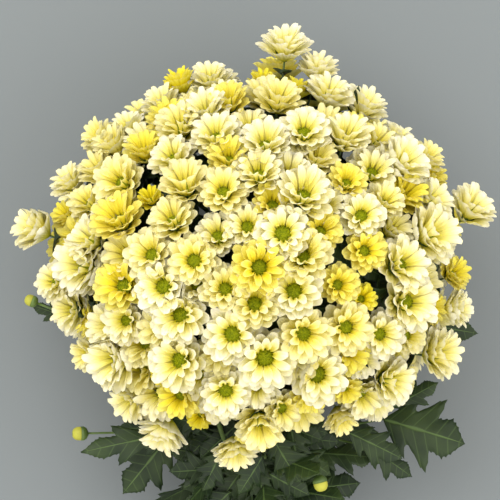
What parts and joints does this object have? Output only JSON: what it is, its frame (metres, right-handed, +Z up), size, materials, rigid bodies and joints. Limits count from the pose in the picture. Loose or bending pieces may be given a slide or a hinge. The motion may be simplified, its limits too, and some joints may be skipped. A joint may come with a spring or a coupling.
{
  "type": "spray chrysanthemum bunch",
  "caption": "Tied bunch of spray chrysanthemums lying on its back: a round head of cream and yellow blooms with green centres, over lobed leaves and bare cut stems.",
  "frame": {"origin": "on the surface that the bunch lies on, under the middle of its footprint", "axes": "+Y from the cut stems towards the flowers, +Z up from the surface, +X to the right of the bunch as its front is seen with the flowers at the top"},
  "size_m": [0.4194, 0.6252, 0.3074],
  "materials": {
    "petals": "soft matte petal, cream with a yellow base",
    "greens": "leaf and stem, satin green",
    "twine": "plain jute twine"
  },
  "bodies": {
    "root": {"spray_01_flowers": "petals", "spray_01_stem": "greens", "spray_02_flowers": "petals", "spray_02_stem": "greens", "spray_03_flowers": "petals", "spray_03_stem": "greens", "spray_04_flowers": "petals", "spray_04_stem": "greens", "spray_05_flowers": "petals", "spray_05_stem": "greens", "spray_06_flowers": "petals", "spray_06_stem": "greens", "spray_07_flowers": "petals", "spray_07_stem": "greens", "spray_08_flowers": "petals", "spray_08_stem": "greens", "spray_09_flowers": "petals", "spray_09_stem": "greens", "spray_10_flowers": "petals", "spray_10_stem": "greens", "spray_11_flowers": "petals", "spray_11_stem": "greens", "spray_12_flowers": "petals", "spray_12_stem": "greens", "spray_13_flowers": "petals", "spray_13_stem": "greens", "spray_14_flowers": "petals", "spray_14_stem": "greens", "spray_15_flowers": "petals", "spray_15_stem": "greens", "spray_16_flowers": "petals", "spray_16_stem": "greens", "spray_17_flowers": "petals", "spray_17_stem": "greens", "spray_18_flowers": "petals", "spray_18_stem": "greens", "spray_19_flowers": "petals", "spray_19_stem": "greens", "spray_20_flowers": "petals", "spray_20_stem": "greens", "spray_21_flowers": "petals", "spray_21_stem": "greens", "spray_22_flowers": "petals", "spray_22_stem": "greens", "spray_23_flowers": "petals", "spray_23_stem": "greens", "spray_24_flowers": "petals", "spray_24_stem": "greens", "tie": "twine"}
  },
  "joints": []
}
